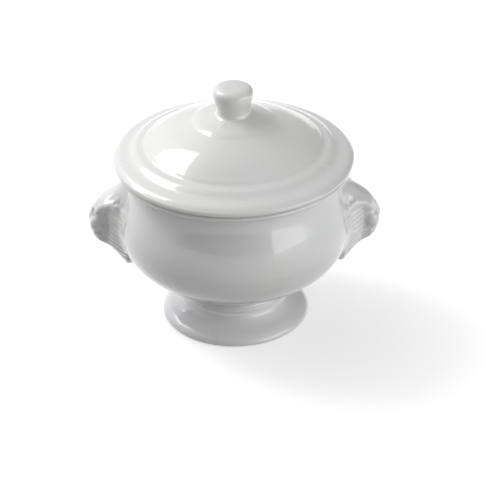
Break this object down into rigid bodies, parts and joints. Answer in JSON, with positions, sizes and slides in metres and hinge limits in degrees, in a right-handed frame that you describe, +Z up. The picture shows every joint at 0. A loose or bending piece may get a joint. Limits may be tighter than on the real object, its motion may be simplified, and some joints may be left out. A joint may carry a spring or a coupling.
{
  "type": "sugar bowl",
  "caption": "Footed white porcelain sugar bowl with lion-head side handles and a loose domed lid with a flared knob.",
  "frame": {"origin": "centre of the foot's base, on the surface the bowl stands on", "axes": "+Z up along the bowl's axis, +X through the right lion head, -Y towards the front"},
  "size_m": [0.1356, 0.11, 0.1181],
  "materials": {
    "bowl_glaze": "glossy white glaze",
    "foot_glaze": "glossy white glaze over a bare foot ring",
    "lid_glaze": "glossy white glaze over a bare seat"
  },
  "bodies": {
    "bowl": {"bowl_body": "bowl_glaze", "pedestal_foot": "foot_glaze", "lion_head_left": "bowl_glaze", "lion_head_right": "bowl_glaze"},
    "lid": {"lid_shell": "lid_glaze", "lid_knob": "lid_glaze"}
  },
  "joints": [
    {"name": "lid_lift", "type": "slide", "parent": "bowl", "child": "lid", "axis": [0, 0, 1], "range_m": [0, 0.12]}
  ]
}
